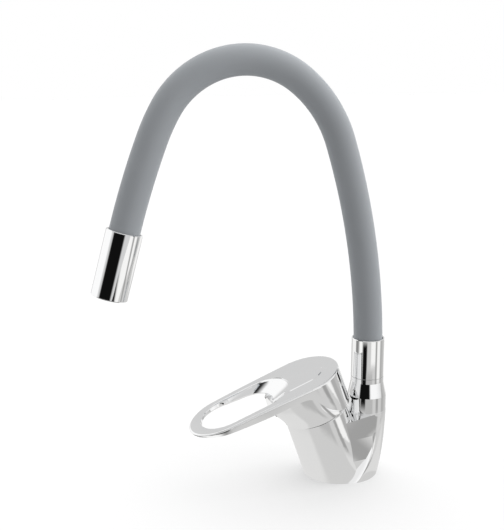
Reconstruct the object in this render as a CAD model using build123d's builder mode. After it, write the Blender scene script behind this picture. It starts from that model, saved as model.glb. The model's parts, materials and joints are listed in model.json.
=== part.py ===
"""Deck-mounted single-lever mixer tap with a flexible sleeved neck.

Origin: centre of the base's underside, on the deck. +Z is up, the lever and the outlet point to -Y,
and the tap is symmetric about the plane X = 0. All sizes are in millimetres.
"""
from build123d import *
import os
from math import atan, cos, degrees, radians, sin

os.makedirs("parts", exist_ok=True)


# Driving dimensions

# Base and inclined barrel
BARREL_TILT = 20.0            # forward lean of the barrel, degrees from vertical
BASE_R = 26.0
BARREL_R = 23.9
RIM_H = 53.4                  # height of the barrel rim, along the barrel axis
RIM_BEVEL = 0.2               # width of the rim's bevel at the sides; it grows towards the rear
RIM_BEVEL_SHIFT = 1.5         # how far the bevel's axis stands in front of the barrel's
THREAD_WALL = 4.3             # wall of the barrel outside the nut thread
CAVITY_FLOOR_H = 14.0
NUT_SEAT_DEPTH = 7.9          # from the rim down to the seat of the nut

# Rear column with the shoulder that carries the riser
RISER_Y = 24.0
SHOULDER_DEPTH = 1.18         # from the middle of the rim down to the shoulder
COLUMN_R = 15.0
COLUMN_FOOT_R, COLUMN_FOOT_Y = 26.9, 4.6
COLUMN_LOW_R, COLUMN_LOW_Y, COLUMN_LOW_Z = 21.5, 14.2, 16.0
COLUMN_WAIST_R, COLUMN_WAIST_Y, COLUMN_WAIST_Z = 16.6, 21.4, 32.0
WEB_STEP = 0.2                # how far the webs lie inside the sides of the column
WEB_SINK = 3.0                # how far they lie inside the sides of the barrel, at the top
SHELF_DEPTH = 4.38            # from the middle of the rim down to the webs' tops, at y = 0
SHELF_RISE = 2.6              # how much higher it is at the riser's axis
SHELF_EDGE = 1.3              # rounding of the webs' upper edges

# Riser and spout socket
RISER_LOW_R = 14.8
RISER_R = 12.6
CONE_LOW_Z = 61.0
CONE_TOP_Z = 72.0
RISER_TOP_Z = 75.6
RISER_BORE_R = 9.0
RISER_BORE_FLOOR_Z = 40.0
SOCKET_TOP_Z = 106.3
SOCKET_FLOOR_Z = 84.0
GLIDE_T = 0.3

# Neck: tangent arcs of its centre line from the riser to the outlet head
NECK_START_Z = 92.0
RISE_RADIUS, RISE_TURN = 531.0, 18.0
SHOULDER_RADIUS, SHOULDER_TURN = 93.0, 34.0
CROWN_RADIUS, CROWN_TURN = 66.0, 98.0
FALL_RADIUS, FALL_TURN = 147.0, 8.6
DROP_RADIUS, DROP_TURN = 595.0, 6.4
SLEEVE_R = 11.0
SLEEVE_WALL = 2.5
CORE_R = 8.2
CORE_WALL = 1.6
HOSE_R = 5.2
HOSE_WALL = 1.4
HINGE_STATIONS = (76.0, 212.0, 348.0)   # places of the bending joints, along the centre line
CORE_GAP = 6.0                # free length between two core segments at a bending joint
CORE_IN_HEAD = 23.8           # how far the core reaches into the head

# Outlet head
HEAD_R = 13.0
HEAD_L = 47.7
HEAD_SLEEVE_DEPTH = 14.0      # how far the sleeve runs into the head
AERATOR_R = 11.0

# Cartridge
CARTRIDGE_WALL = 6.4          # from the barrel's outside in to the cartridge
HOUSING_T = 2.6               # wall of the cartridge housing
COLLAR_IN = 3.5               # how far the housing's collar lies inside its wall
COLLAR_T = 4.0                # width of the collar over the rotor's shoulder
ROTOR_PROUD = 1.1             # shoulder of the rotor above the nut's seat
PIVOT_RISE = 2.9              # from there to the lever's tilt axis
PIN_R = 1.5
ROTOR_PLAY = 0.5              # gap round the rotor's foot
NUT_HEX_IN = 1.0              # from the nut's hexagon in to the housing's collar
NUT_HEX_PROUD = 3.6           # height of the nut's hexagon above the rim

# Lever handle, seen along the barrel axis (forward distances from the barrel axis)
SEAM_GAP = 0.6                # between the rim and the skirt
HANDLE_H = 32.5               # from the skirt's edge to the top face
SEAM_PROUD = 0.75             # how far the skirt stands out over the rim
SEAM_OPENING = 1.5            # extra gap under the skirt at the rear
HUB_R = 30.3
HUB_FORWARD = 2.0
TIP_R = 27.3
TIP_FORWARD = 67.2
HUB_DRAFT = 6.2               # how far the sides of the hub draw in, down to the seam
TIP_DRAFT = 3.0
LOOP_HUB_R = 21.0
LOOP_HUB_FORWARD = 34.5
LOOP_TIP_R = 20.7
LOOP_TIP_FORWARD = 64.0
RAMP_LOW_R = 18.5             # the finger loop's hub end is dished: its foot is a smaller circle
RAMP_LOW_FORWARD = 47.0
RAMP_TIP_R = 20.2
RAMP_DROP = 5.8               # from the top face to the foot of the dish
LOOP_WALL_T = 4.0             # height of the loop's inner wall; its underside is relieved
LOOP_RELIEF = 4.5             # width of that relief

# Fits
RUNNING = 0.08                # radial clearance of a running fit
SLIDING = 0.04
LOOSE = 0.3                   # clearance between parts that only pass each other
SEAT = 0.02                   # clearance under parts that are seated by hand
OVERCUT = 1.0                 # cuts run this far past the face they open


# Sizes that follow from the driving dimensions; heights are along the barrel axis

TILT_SIN = sin(radians(BARREL_TILT))
TILT_COS = cos(radians(BARREL_TILT))
SHOULDER_Z = RIM_H * TILT_COS - SHOULDER_DEPTH
SHELF_Z = RIM_H * TILT_COS - SHELF_DEPTH
CARTRIDGE_R = BARREL_R - CARTRIDGE_WALL
HOUSING_IN_R = CARTRIDGE_R - HOUSING_T
COLLAR_R = CARTRIDGE_R - COLLAR_IN
SEAM_R = BARREL_R + SEAM_PROUD
NUT_SEAT_H = RIM_H - NUT_SEAT_DEPTH
ROTOR_TOP_H = NUT_SEAT_H + ROTOR_PROUD
PIVOT_H = ROTOR_TOP_H + PIVOT_RISE
HANDLE_SEAM_H = RIM_H + SEAM_GAP
HANDLE_TOP_H = HANDLE_SEAM_H + HANDLE_H


# Frames

UP_BARREL = Vector(0, -TILT_SIN, TILT_COS)
FORWARD = Vector(0, -TILT_COS, -TILT_SIN)
BARREL_AXIS = Axis((0, 0, 0), UP_BARREL)
RISER_AXIS = Axis((0, RISER_Y, 0), (0, 0, 1))


def barrel_level(height):
    """Plane square to the barrel axis; local x is +X and local y points forward, so it faces down."""
    return Plane(origin=UP_BARREL * height, x_dir=(1, 0, 0), z_dir=UP_BARREL * -1)


# Side view of the barrel: local x is the distance forward, local y the height along the axis
SIDE = Plane(origin=(0, 0, 0), x_dir=FORWARD, z_dir=(-1, 0, 0))


def barrel_point(forward, height, across=0.0):
    """A point given by its place in the barrel's own frame."""
    return Vector(across, 0, 0) + FORWARD * forward + UP_BARREL * height


RISER_SIDE = Plane(origin=(0, RISER_Y, 0), x_dir=(0, 1, 0), z_dir=(1, 0, 0))


def outline(plane, *points):
    """A closed outline of straight lines, as a face on the given plane."""
    with BuildSketch(plane) as sketch:
        with BuildLine():
            Polyline(*points, close=True)
        make_face()
    return sketch.sketch


def barrel_ring(inner, outer, low, high):
    """Half section of a ring about the barrel axis, between two heights."""
    return outline(SIDE, (inner, low), (outer, low), (outer, high), (inner, high))


def riser_ring(inner, outer, low, high):
    """Half section of a ring about the riser axis, between two heights."""
    return outline(RISER_SIDE, (inner, low), (outer, low), (outer, high), (inner, high))


NECK_BENDS = (
    (RISE_RADIUS, RISE_TURN),
    (SHOULDER_RADIUS, SHOULDER_TURN),
    (CROWN_RADIUS, CROWN_TURN),
    (FALL_RADIUS, FALL_TURN),
    (DROP_RADIUS, DROP_TURN),
)
NECK_LENGTH = sum(radius * radians(turn) for radius, turn in NECK_BENDS)


def neck_arcs(start, end):
    """The arcs of the neck between two stations, as (y, z, heading, radius, turn)."""
    y, z, heading = RISER_Y, NECK_START_Z, 0.0
    station = 0.0
    pieces = []
    for radius, turn in NECK_BENDS:
        length = radius * radians(turn)
        first = min(max(start - station, 0.0), length)
        last = min(max(end - station, 0.0), length)
        for part_length, kept in ((first, False), (last - first, True), (length - last, False)):
            part_turn = part_length / radius
            if kept and part_length > 0:
                pieces.append((y, z, heading, radius, part_turn))
            y += radius * (cos(heading + part_turn) - cos(heading))
            z += radius * (sin(heading + part_turn) - sin(heading))
            heading += part_turn
        station += length
    return pieces


def neck_plane(station):
    """Plane square to the neck's centre line at a station; it faces the outlet."""
    if station <= 0:
        return Plane(origin=(0, RISER_Y, NECK_START_Z + station), x_dir=(1, 0, 0), z_dir=(0, 0, 1))
    y, z, heading, radius, turn = neck_arcs(0, min(station, NECK_LENGTH))[-1]
    y += radius * (cos(heading + turn) - cos(heading))
    z += radius * (sin(heading + turn) - sin(heading))
    heading += turn
    plane = Plane(origin=(0, y, z), x_dir=(1, 0, 0), z_dir=(0, -sin(heading), cos(heading)))
    return plane.offset(max(station - NECK_LENGTH, 0.0))


def neck_line(start, end):
    """Centre line between two stations, with straight runs inside the socket and the head."""
    with BuildLine() as line:
        if start < 0:
            Line(neck_plane(start).origin, neck_plane(0).origin)
        for y, z, heading, radius, turn in neck_arcs(start, end):
            middle, finish = heading + turn / 2, heading + turn
            ThreePointArc(
                (0, y, z),
                (0, y + radius * (cos(middle) - cos(heading)), z + radius * (sin(middle) - sin(heading))),
                (0, y + radius * (cos(finish) - cos(heading)), z + radius * (sin(finish) - sin(heading))),
            )
        if end > NECK_LENGTH:
            Line(neck_plane(NECK_LENGTH).origin, neck_plane(end).origin)
    return line.line


def neck_ring(station, outer, inner):
    """Cross section of a tube at a station of the neck."""
    with BuildSketch(neck_plane(station)) as sketch:
        Circle(outer)
        Circle(inner, mode=Mode.SUBTRACT)
    return sketch.sketch


def save(part, name):
    """Label a finished piece and write it as one node."""
    part.label = name
    export_step(part, f"parts/{name}.step")


# Body casting: base, inclined barrel, rear column, shoulder and fixed riser in one piece

NUT_THREAD_R = BARREL_R - THREAD_WALL
CAVITY_R = CARTRIDGE_R + LOOSE
INLET_R = 4.5
INLET_X = 8.0
INLET_Y = -3.0
INLET_DEPTH = 9.5
PORT_R = 2.8
PORT_X = 7.0
PORT_Y = 1.0
OUTLET_PORT_R = 3.6
OUTLET_PORT_FORWARD = 8.0
STUD_R = 2.5
STUD_X = 12.0
STUD_Y = 8.5
STUD_DEPTH = 12.0
SEAL_IN_R = 20.8
SEAL_OUT_R = 23.6
SEAL_T = 2.2
RISER_ROOT_Z = 40.0           # the riser is cast in one with the column below its shoulder
MOUTH_FRONT, MOUTH_REAR, MOUTH_H = 60.0, 22.0, 40.0
GRUB_Z = 64.0
GRUB_R = 2.0
CHANNEL_R = 3.2
CHANNEL_Z = 13.5
CHANNEL_Y = 4.0

RIM_BEVEL_REACH = 4.0

COLUMN_LEVELS = (
    (0, COLUMN_FOOT_Y, COLUMN_FOOT_R),
    (COLUMN_LOW_Z, COLUMN_LOW_Y, COLUMN_LOW_R),
    (COLUMN_WAIST_Z, COLUMN_WAIST_Y, COLUMN_WAIST_R),
    (SHOULDER_Z, RISER_Y, COLUMN_R),
)

with BuildPart() as webs:
    # Flat webs that join the barrel to the column on both sides, sunk a little below the barrel
    for web_z, column_y, column_r in COLUMN_LEVELS:
        sink = WEB_SINK * (web_z / SHOULDER_Z) ** 2
        with BuildSketch(Plane.XY.offset(web_z)):
            with Locations((0, -web_z * TILT_SIN / TILT_COS)):
                Circle(BASE_R - (BASE_R - BARREL_R) * web_z / RIM_H - WEB_STEP - sink)
            with Locations((0, column_y)):
                Circle(column_r - WEB_STEP)
            make_hull()
    loft(ruled=True)
    # Their tops form a shelf that rises gently towards the riser
    extrude(
        outline(
            Plane.YZ,
            (-3 * BARREL_R, SHELF_Z - 3 * BARREL_R * SHELF_RISE / RISER_Y),
            (3 * BARREL_R, SHELF_Z + 3 * BARREL_R * SHELF_RISE / RISER_Y),
            (3 * BARREL_R, 2 * SHOULDER_Z),
            (-3 * BARREL_R, 2 * SHOULDER_Z),
        ),
        amount=2 * BARREL_R,
        both=True,
        mode=Mode.SUBTRACT,
    )
    shelf = webs.faces().sort_by(Axis.Z)[-1]
    fillet(shelf.edges().filter_by(GeomType.LINE), SHELF_EDGE)

with BuildPart() as body:
    # Barrel, from the round base to the inclined rim
    with BuildSketch(Plane.XY):
        Circle(BASE_R)
    with BuildSketch(barrel_level(RIM_H)):
        Circle(BARREL_R)
    loft(ruled=True)
    # Rear column, swelling back from the base to the shoulder
    for column_z, column_y, column_r in COLUMN_LEVELS:
        with BuildSketch(Plane.XY.offset(column_z)):
            with Locations((0, column_y)):
                Circle(column_r)
    loft()
    # Everything above the rim plane, in front of the riser, is open
    extrude(
        outline(
            SIDE,
            (MOUTH_FRONT, RIM_H),
            (-MOUTH_REAR, RIM_H),
            (-MOUTH_REAR, RIM_H + MOUTH_H),
            (MOUTH_FRONT, RIM_H + MOUTH_H),
        ),
        amount=3 * BARREL_R,
        both=True,
        mode=Mode.SUBTRACT,
    )
    add(webs.part)
    # Fixed riser on the shoulder
    revolve(
        outline(
            RISER_SIDE,
            (0, RISER_ROOT_Z),
            (RISER_LOW_R, RISER_ROOT_Z),
            (RISER_LOW_R, CONE_LOW_Z),
            (RISER_R, CONE_TOP_Z),
            (RISER_R, RISER_TOP_Z),
            (0, RISER_TOP_Z),
        ),
        axis=RISER_AXIS,
    )
    # Cartridge cavity with the wider nut thread above it
    revolve(
        barrel_ring(0, CAVITY_R, CAVITY_FLOOR_H, RIM_H + OVERCUT),
        axis=BARREL_AXIS,
        mode=Mode.SUBTRACT,
    )
    revolve(
        barrel_ring(0, NUT_THREAD_R, NUT_SEAT_H, RIM_H + OVERCUT),
        axis=BARREL_AXIS,
        mode=Mode.SUBTRACT,
    )
    # Bevel of the rim, wider towards the rear, where the skirt of the lever dips past
    revolve(
        outline(
            SIDE,
            (RIM_BEVEL_SHIFT + BARREL_R - RIM_BEVEL, RIM_H),
            (RIM_BEVEL_SHIFT + BARREL_R + RIM_BEVEL_REACH, RIM_H),
            (RIM_BEVEL_SHIFT + BARREL_R + RIM_BEVEL_REACH, RIM_H - RIM_BEVEL_REACH - RIM_BEVEL),
        ),
        axis=Axis(barrel_point(RIM_BEVEL_SHIFT, 0), UP_BARREL),
        mode=Mode.SUBTRACT,
    )
    # Bore of the riser, the water channel that feeds it, and the hole of the spout's screw
    revolve(
        riser_ring(0, RISER_BORE_R, RISER_BORE_FLOOR_Z, RISER_TOP_Z),
        axis=RISER_AXIS,
        mode=Mode.SUBTRACT,
    )
    with BuildSketch(barrel_level(CAVITY_FLOOR_H)):
        with Locations((0, -OUTLET_PORT_FORWARD)):
            Circle(CHANNEL_R)
    extrude(amount=CHANNEL_Y, mode=Mode.SUBTRACT)
    with BuildSketch(Plane.XZ.offset(-RISER_Y - CHANNEL_R)):
        with Locations((0, CHANNEL_Z)):
            Circle(CHANNEL_R)
    extrude(amount=RISER_Y + CHANNEL_R - CHANNEL_Y, mode=Mode.SUBTRACT)
    revolve(
        riser_ring(0, CHANNEL_R, CHANNEL_Z, RISER_BORE_FLOOR_Z + OVERCUT),
        axis=RISER_AXIS,
        mode=Mode.SUBTRACT,
    )
    with BuildSketch(Plane.XZ.offset(-RISER_Y - RISER_LOW_R - OVERCUT)):
        with Locations((0, GRUB_Z)):
            Circle(GRUB_R + SLIDING)
    extrude(amount=RISER_LOW_R, mode=Mode.SUBTRACT)
    # Underside: hose inlets with passages to the cartridge, stud hole and seal groove
    with BuildSketch(Plane.XY):
        with Locations((-INLET_X, INLET_Y), (INLET_X, INLET_Y)):
            Circle(INLET_R)
    extrude(amount=INLET_DEPTH, mode=Mode.SUBTRACT)
    with BuildSketch(Plane.XY.offset(INLET_DEPTH)):
        with Locations((-PORT_X, INLET_Y), (PORT_X, INLET_Y)):
            Circle(PORT_R)
    extrude(amount=CAVITY_FLOOR_H, mode=Mode.SUBTRACT)
    with BuildSketch(Plane.XY):
        with Locations((-STUD_X, STUD_Y), (STUD_X, STUD_Y)):
            Circle(STUD_R)
    extrude(amount=STUD_DEPTH, mode=Mode.SUBTRACT)
    with BuildSketch(Plane.XY):
        Circle(SEAL_OUT_R)
        Circle(SEAL_IN_R, mode=Mode.SUBTRACT)
    extrude(amount=SEAL_T + SEAT, mode=Mode.SUBTRACT)
save(body.part, "body")

with BuildPart() as base_seal:
    with BuildSketch(Plane.XY):
        Circle(SEAL_OUT_R - SEAT)
        Circle(SEAL_IN_R + SEAT, mode=Mode.SUBTRACT)
    extrude(amount=SEAL_T)
save(base_seal.part, "base_seal")


# Cartridge, from the cavity floor upwards

SEAL_PROUD = 0.6
PORT_SEAL_W = 1.8             # from the edge of the port to the outside of its seal
PLATE_H = CAVITY_FLOOR_H + SEAL_PROUD
DISC_H = PLATE_H + 5.4
DISC_T = 4.0
OUTLET_SLOT_L = 2.6 * OUTLET_PORT_R
OUTLET_SLOT_W = 1.5 * OUTLET_PORT_R
OUTLET_SLOT_BACK = 1.0        # from the outlet port's middle to the slot's
DISC_R = HOUSING_IN_R - LOOSE
MOVER_H = DISC_H + DISC_T + SEAT
MOVER_R = 11.0
MOVER_T = 3.4
MIXING_L, MIXING_W = 15.0, 8.0   # chamber in which hot and cold meet
MIXING_FORWARD = 3.0
CARRIER_H = MOVER_H + MOVER_T + SEAT
CARRIER_T = 5.0
ROTOR_H = CARRIER_H + CARRIER_T + 0.4
ROTOR_R = HOUSING_IN_R - ROTOR_PLAY
ROTOR_NECK_R = COLLAR_R - COLLAR_T
ROTOR_NECK_TOP_H = PIVOT_H + 3.5
HOUSING_TOP_H = ROTOR_TOP_H + 4.4
HOUSING_STEP_H = NUT_SEAT_H
BALL_R = 3.0
BALL_NECK_R = BALL_R - 0.8
BALL_NECK_L = 5.0
SLOT_END_T = 1.2              # rotor's wall at each end of the stem's slot
PIN_BORE_IN, PIN_IN = 0.4, 0.5   # the pin and its bore stop short of the rotor's side
HOUSING_LIP_W, HOUSING_LIP_H = 2.0, 1.0     # recess round the rotor's neck at the top
HOUSING_STEP_T = 2.0
BALL_H = CARRIER_H + BALL_R + 0.2
STEM_R = 4.2
STEM_BEVEL = 0.8
BOSS_LOW_H = ROTOR_NECK_TOP_H + 9.5
STEM_TOP_H = BOSS_LOW_H + 9.5
STEM_FLAT_H = BOSS_LOW_H - 0.5
GRUB_H = BOSS_LOW_H + 4.5
STEM_HALF_AF = 3.6
SLOT_HALF = STEM_R + RUNNING

PORTS = ((-PORT_X, -INLET_Y), (PORT_X, -INLET_Y))

with BuildPart() as cartridge_seals:
    with BuildSketch(barrel_level(CAVITY_FLOOR_H)):
        with Locations(*PORTS):
            Circle(PORT_R + PORT_SEAL_W)
            Circle(PORT_R + LOOSE, mode=Mode.SUBTRACT)
        with Locations((0, -OUTLET_PORT_FORWARD)):
            Circle(OUTLET_PORT_R + PORT_SEAL_W)
            Circle(OUTLET_PORT_R + LOOSE, mode=Mode.SUBTRACT)
    extrude(amount=-SEAL_PROUD)
save(cartridge_seals.part, "cartridge_seals")

with BuildPart() as cartridge_base:
    revolve(barrel_ring(0, CARTRIDGE_R, PLATE_H, DISC_H), axis=BARREL_AXIS)
    with BuildSketch(barrel_level(PLATE_H)):
        with Locations(*PORTS):
            Circle(PORT_R)
        with Locations((0, -OUTLET_PORT_FORWARD)):
            Circle(OUTLET_PORT_R)
    extrude(amount=-(DISC_H - PLATE_H), mode=Mode.SUBTRACT)
save(cartridge_base.part, "cartridge_base")

with BuildPart() as fixed_disc:
    revolve(barrel_ring(0, DISC_R, DISC_H, DISC_H + DISC_T), axis=BARREL_AXIS)
    with BuildSketch(barrel_level(DISC_H)):
        with Locations(*PORTS):
            Circle(PORT_R)
        with Locations((0, -OUTLET_PORT_FORWARD + OUTLET_SLOT_BACK)):
            SlotOverall(OUTLET_SLOT_L, OUTLET_SLOT_W)
    extrude(amount=-DISC_T, mode=Mode.SUBTRACT)
save(fixed_disc.part, "fixed_disc")

with BuildPart() as moving_disc:
    revolve(barrel_ring(0, MOVER_R, MOVER_H, MOVER_H + MOVER_T), axis=BARREL_AXIS)
    # Mixing pocket on the underside
    with BuildSketch(barrel_level(MOVER_H)):
        with Locations((0, -MIXING_FORWARD)):
            SlotOverall(MIXING_L, MIXING_W)
    extrude(amount=-MOVER_T / 2, mode=Mode.SUBTRACT)
save(moving_disc.part, "moving_disc")

with BuildPart() as disc_carrier:
    revolve(barrel_ring(0, MOVER_R, CARRIER_H, CARRIER_H + CARRIER_T), axis=BARREL_AXIS)
    # Cross slot for the ball of the stem: it slips up and down, and pushes forwards and back
    with BuildSketch(barrel_level(CARRIER_H)):
        Rectangle(2 * BALL_R + 2 * RUNNING, 2 * BALL_R + 2 * RUNNING)
    extrude(amount=-CARRIER_T, mode=Mode.SUBTRACT)
save(disc_carrier.part, "disc_carrier")

with BuildPart() as rotor:
    revolve(barrel_ring(0, ROTOR_R, ROTOR_H, ROTOR_TOP_H), axis=BARREL_AXIS)
    revolve(barrel_ring(0, ROTOR_NECK_R, ROTOR_TOP_H, ROTOR_NECK_TOP_H), axis=BARREL_AXIS)
    # Slot in which the stem tilts, and the hole of its pin
    with BuildSketch(barrel_level(ROTOR_H)):
        Rectangle(2 * SLOT_HALF, 2 * ROTOR_NECK_R - 2 * SLOT_END_T)
    extrude(amount=-(ROTOR_NECK_TOP_H - ROTOR_H), mode=Mode.SUBTRACT)
    with BuildSketch(Plane.YZ):
        with Locations((barrel_point(0, PIVOT_H).Y, barrel_point(0, PIVOT_H).Z)):
            Circle(PIN_R)
    extrude(amount=ROTOR_NECK_R - PIN_BORE_IN, both=True, mode=Mode.SUBTRACT)
save(rotor.part, "rotor")

with BuildPart() as pivot_pin:
    with BuildSketch(Plane.YZ):
        with Locations((barrel_point(0, PIVOT_H).Y, barrel_point(0, PIVOT_H).Z)):
            Circle(PIN_R)
    extrude(amount=ROTOR_NECK_R - PIN_IN, both=True)
save(pivot_pin.part, "pivot_pin")

with BuildPart() as stem:
    revolve(barrel_ring(0, STEM_R, BALL_H + BALL_NECK_L, STEM_TOP_H), axis=BARREL_AXIS)
    chamfer(stem.faces().sort_by(Axis(barrel_point(0, 0), UP_BARREL))[-1].edges(), STEM_BEVEL)
    # Ball that drives the disc carrier, on a slim neck
    revolve(barrel_ring(0, BALL_NECK_R, BALL_H, BALL_H + BALL_NECK_L), axis=BARREL_AXIS)
    with Locations(Location(barrel_point(0, BALL_H))):
        Sphere(BALL_R)
    # Flats that carry the handle
    with BuildSketch(barrel_level(STEM_FLAT_H)):
        Circle(STEM_R + OVERCUT)
        Rectangle(2 * STEM_HALF_AF, 2 * STEM_HALF_AF, mode=Mode.SUBTRACT)
    extrude(amount=-(STEM_TOP_H - STEM_FLAT_H), mode=Mode.SUBTRACT)
    with BuildSketch(Plane.YZ):
        with Locations((barrel_point(0, PIVOT_H).Y, barrel_point(0, PIVOT_H).Z)):
            Circle(PIN_R + RUNNING)
    extrude(amount=STEM_R + OVERCUT, both=True, mode=Mode.SUBTRACT)
save(stem.part, "stem")

with BuildPart() as cartridge_housing:
    revolve(barrel_ring(HOUSING_IN_R, CARTRIDGE_R, DISC_H, HOUSING_STEP_H), axis=BARREL_AXIS)
    collar = barrel_ring(ROTOR_NECK_R + RUNNING, COLLAR_R, ROTOR_TOP_H + RUNNING, HOUSING_TOP_H)
    revolve(collar, axis=BARREL_AXIS)
    revolve(
        outline(
            SIDE,
            (HOUSING_IN_R, HOUSING_STEP_H),
            (HOUSING_IN_R, HOUSING_STEP_H - HOUSING_STEP_T),
            (CARTRIDGE_R, HOUSING_STEP_H - HOUSING_STEP_T),
            (CARTRIDGE_R, HOUSING_STEP_H),
            (COLLAR_R, HOUSING_TOP_H - HOUSING_LIP_H),
            (ROTOR_NECK_R + HOUSING_LIP_W, HOUSING_TOP_H - HOUSING_LIP_H),
            (ROTOR_NECK_R + HOUSING_LIP_W, ROTOR_TOP_H + RUNNING),
            (HOUSING_IN_R, ROTOR_TOP_H + RUNNING),
        ),
        axis=BARREL_AXIS,
    )
save(cartridge_housing.part, "cartridge_housing")

NUT_THREAD_END = 1.0          # the nut's thread ends this far below the rim
NUT_HEX_LOW = 1.5             # and its hexagon starts this far below it
NUT_HOLE_PLAY = 2.5           # room for the rotor's neck to lean and turn
with BuildPart() as retaining_nut:
    revolve(
        outline(
            SIDE,
            (CARTRIDGE_R + LOOSE, NUT_SEAT_H + SEAT),
            (NUT_THREAD_R - SLIDING, NUT_SEAT_H + SEAT),
            (NUT_THREAD_R - SLIDING, RIM_H - NUT_THREAD_END),
            (COLLAR_R + NUT_HEX_IN, RIM_H - NUT_THREAD_END),
            (COLLAR_R + NUT_HEX_IN, HOUSING_TOP_H),
        ),
        axis=BARREL_AXIS,
    )
    with BuildSketch(barrel_level(RIM_H - NUT_HEX_LOW)):
        RegularPolygon(COLLAR_R + NUT_HEX_IN, 6, major_radius=False)
        Circle(ROTOR_NECK_R + NUT_HOLE_PLAY, mode=Mode.SUBTRACT)
    extrude(amount=-(NUT_HEX_PROUD + NUT_HEX_LOW))
    revolve(
        barrel_ring(0, COLLAR_R + LOOSE, NUT_SEAT_H - OVERCUT, HOUSING_TOP_H + SEAT),
        axis=BARREL_AXIS,
        mode=Mode.SUBTRACT,
    )
save(retaining_nut.part, "retaining_nut")

GLIDE_IN_R = NUT_THREAD_R - 1.2
GLIDE_OUT_R = BARREL_R - 2.6
DUST_RING_T = 1.2
DUST_LIP_H = 0.9              # lip of the ring inside the body's thread
DUST_LIP_PLAY = 0.2
with BuildPart() as dust_ring:
    revolve(barrel_ring(GLIDE_IN_R, GLIDE_OUT_R, RIM_H, RIM_H + DUST_RING_T), axis=BARREL_AXIS)
    revolve(barrel_ring(GLIDE_IN_R, NUT_THREAD_R - DUST_LIP_PLAY, RIM_H - DUST_LIP_H, RIM_H), axis=BARREL_AXIS)
save(dust_ring.part, "dust_ring")


# Lever handle

SKIRT_EDGE = 0.6              # wall of the skirt at its lower edge
SKIRT_STRAIGHT = 4.5          # height over which it stays that thin, to pass outside the rim
ROOF_T = 7.5                  # thickness of the hub's top
BOSS_R = 8.6
HOOD_REACH = TIP_FORWARD + TIP_R + 5.5   # the hood's outlines start in front of the tip
HOOD_TIP_T = 2.8              # depth of the hood under the top face, at the outline's start
HOOD_LOOP_T = 6.3             # along the finger loop
HOOD_ROOT_T = 6.5             # where the loop joins the hub
HOOD_LOW_H = 1.6              # lowest point of the hood above the skirt's edge
HOOD_TIP_RUN, HOOD_TIP_SAG = 12.8, 2.1    # its lower edge under the tip
HOOD_TIP_BACK = 12.2
HOOD_LOOP_SAG = 0.3           # under the finger loop
HOOD_ROOT_BACK = 0.6          # where the loop joins the hub
HOOD_NOSE_BACK = 1.0
HOOD_ROOT_SAG = 1.2
HOOD_MID_H = 8.8              # from the hub down to the seam
HOOD_STEP = 7.0
HOOD_REAR, HOOD_REAR_H = 31.0, 13.0       # and up again at the rear
HOOD_REAR_RUN = 5.0
HUB_LOW = 2.0                 # the hub's form ends this far under the seam
BEAK_LOW_FORWARD, BEAK_LOW_H, BEAK_LOW_OUT = 0.6, 3.5, 0.55      # outlines of the beak, upwards
BEAK_MID_FORWARD, BEAK_MID_H, BEAK_MID_OUT = 3.8, 10.5, 1.05
BEAK_HIGH_FORWARD, BEAK_HIGH_DEPTH, BEAK_HIGH_OUT = 6.8, 11.5, 1.55
BEAK_TOP_FORWARD, BEAK_TOP_DEPTH, BEAK_TOP_OUT = 7.4, 4.5, 1.75
HOLLOW_LOW = 4.0              # the hollow starts this far under the seam
HOLLOW_DRAFT = 1.0
HOLLOW_BEVEL = 3.0
BOSS_ROOT = 0.5               # the boss runs this far into the hub's top
CAVITY_TOP_H = HANDLE_TOP_H - ROOF_T
HANDLE_EDGE = 1.5
DROOP = 2.9                   # fall of the top face at the outline's far end
LOOP_EDGE = 1.2
LOOP_SLACK = 0.1
OPENING_DEPTH = 20.0
OPENING_LOW, OPENING_FAR = 24.0, 74.0   # the outlines' planes cut the drooping face here
FRONT_RUN = 6.5
FRONT_DROP = 10.1
PANEL_T = 0.5                 # height of the raised panel on the hub
PANEL_BEVEL = 1.0
PANEL_REAR_R, PANEL_REAR_FORWARD = 16.8, 0.5
PANEL_FRONT_R, PANEL_FRONT_FORWARD = 17.6, 16.0
HUB_WALL = 3.4
BEAK_POCKET_R = 19.0
BEAK_POCKET_FORWARD = 5.5
BEAK_POCKET_DEPTH = 14.0
PLUG_R = 3.0
PLUG_T = 2.0
PLUG_BORE_FORWARD = 20.0      # the screw's hole widens here for the plug
SCREW_R = 2.5
SCREW_L = 7.0


def grub_plane(forward):
    """Plane square to the handle's screw, at a distance in front of the barrel axis."""
    return Plane(origin=barrel_point(forward, GRUB_H), x_dir=(1, 0, 0), z_dir=FORWARD)


def opening_level(depth, grown=0.0):
    """Outline of the finger opening at a depth under the drooping top face, grown all round."""
    share = max(depth, 0.0) / RAMP_DROP
    # The upper outlines lean with the face, the lowest one lies square to the barrel
    lean = (1 - share) * (OPENING_LOW + OPENING_FAR) * DROOP / HOOD_REACH**2
    rise = (1 - share) * OPENING_LOW * OPENING_FAR * DROOP / HOOD_REACH**2
    level = barrel_level(HANDLE_TOP_H - depth + rise).rotated((degrees(atan(lean)), 0, 0))
    with BuildSketch(level) as sketch:
        with Locations((0, LOOP_HUB_FORWARD + share * (RAMP_LOW_FORWARD - LOOP_HUB_FORWARD))):
            Circle(LOOP_HUB_R + share * (RAMP_LOW_R - LOOP_HUB_R) + grown)
        with Locations((0, LOOP_TIP_FORWARD)):
            Circle(LOOP_TIP_R + share * (RAMP_TIP_R - LOOP_TIP_R) + grown)
        make_hull()
    return sketch.sketch


LOOP_ROUNDING = [
    opening_level(LOOP_EDGE * (1 - cos(radians(turn))), LOOP_EDGE * (1 - sin(radians(turn))))
    for turn in (0, 30, 60, 90)
]

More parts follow.
